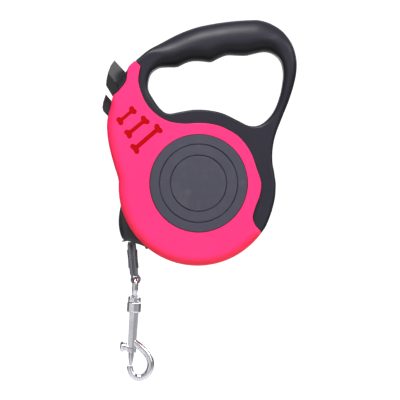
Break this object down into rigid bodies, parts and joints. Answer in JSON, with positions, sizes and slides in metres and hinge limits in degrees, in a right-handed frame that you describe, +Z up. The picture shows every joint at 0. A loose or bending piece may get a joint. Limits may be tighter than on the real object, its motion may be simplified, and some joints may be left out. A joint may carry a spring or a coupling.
{
  "type": "retractable leash",
  "caption": "Hand-held retractable tape leash: round reel housing with pink covers, D-shaped handle, brake and lock buttons, exit nozzle and swivel bolt snap.",
  "frame": {"origin": "middle of the handle's grip, where the hand holds it; the snap hangs plumb below", "axes": "+Z up along the height of the hanging leash, +Y through the thickness from the front plate to the rear plate, +X from the nozzle side to the rear bar"},
  "size_m": [0.126, 0.0308, 0.2343],
  "materials": {
    "black_plastic": "satin",
    "dark_grey_plastic": "fine matte grain",
    "pink_plastic": "satin gloss",
    "dark_red_plastic": "satin",
    "reel_plastic": "natural moulded",
    "black_webbing": "woven tape",
    "chrome": "polished plate",
    "spring_steel": "bright"
  },
  "bodies": {
    "housing": {"front_shell": "black_plastic", "rear_shell": "black_plastic", "front_cover": "pink_plastic", "rear_cover": "pink_plastic", "front_disc": "dark_grey_plastic", "rear_disc": "dark_grey_plastic", "front_bone_insert": "dark_red_plastic", "rear_bone_insert": "dark_red_plastic", "nozzle": "black_plastic", "roller_pin": "spring_steel", "brake_spring": "spring_steel", "lock_detent": "spring_steel", "spring_arbor": "spring_steel", "front_washer": "spring_steel", "rear_washer": "spring_steel", "mainspring": "spring_steel", "screw_grip_front": "spring_steel", "screw_grip_middle": "spring_steel", "screw_grip_rear": "spring_steel", "screw_bar_foot": "spring_steel", "screw_body_low": "spring_steel", "screw_body_left": "spring_steel", "arbor_screw": "spring_steel"},
    "brake": {"brake_button": "black_plastic"},
    "lock": {"lock_button": "black_plastic"},
    "reel_group": {"reel": "reel_plastic", "reel_cover": "reel_plastic", "wound_tape": "black_webbing"},
    "roller": {"guide_roller": "spring_steel"},
    "tape": {"tape_run": "black_webbing"},
    "strap": {"leash_strap": "black_webbing"},
    "eye": {"swivel_eye": "chrome"},
    "snap": {"snap_body": "chrome", "snap_spring": "spring_steel"},
    "bolt": {"snap_bolt": "chrome"}
  },
  "joints": [
    {"name": "brake_press", "type": "slide", "parent": "housing", "child": "brake", "axis": [0.6198, 0, -0.7848], "range_m": [0, 0.004], "stiffness_N_per_m": 300, "springref_m": -0.004, "deforming": ["brake_spring"]},
    {"name": "lock_slide", "type": "slide", "parent": "housing", "child": "lock", "axis": [0.6198, 0, -0.7848], "range_m": [0, 0.003], "deforming": ["lock_detent"]},
    {"name": "tape_pull", "type": "slide", "parent": "housing", "child": "tape", "axis": [-0.0857, 0, -0.9963], "range_m": [0, 0.25447], "stiffness_N_per_m": 0.6, "springref_m": -5, "deforming": ["tape_run", "mainspring"]},
    {"name": "reel_spin", "type": "hinge", "parent": "housing", "child": "reel_group", "pos_m": [-0.017, 0, -0.093], "axis": [0, 1, 0], "continuous": true},
    {"name": "guide_spin", "type": "hinge", "parent": "housing", "child": "roller", "pos_m": [-0.0566, 0, -0.1262], "axis": [0, 1, 0], "continuous": true},
    {"name": "strap_swing", "type": "hinge", "parent": "tape", "child": "strap", "pos_m": [-0.0607, 0, -0.1313], "axis": [0, 1, 0], "range_deg": [-20, 20], "stiffness_Nm_per_rad": 0.002},
    {"name": "eye_swing", "type": "hinge", "parent": "strap", "child": "eye", "pos_m": [-0.0579, 0, -0.1553], "axis": [0, 1, 0], "range_deg": [-40, 40]},
    {"name": "snap_swivel", "type": "hinge", "parent": "eye", "child": "snap", "pos_m": [-0.0579, 0, -0.1553], "axis": [0.0593, 0, 0.9982], "continuous": true},
    {"name": "bolt_slide", "type": "slide", "parent": "snap", "child": "bolt", "axis": [0.0593, 0, 0.9982], "range_m": [0, 0.006], "stiffness_N_per_m": 400, "springref_m": -0.004, "deforming": ["snap_spring"]}
  ],
  "couplings": [
    {"joint": "reel_spin", "follows": "tape_pull", "rad_per_m": -24.691},
    {"joint": "guide_spin", "follows": "tape_pull", "rad_per_m": -400}
  ]
}
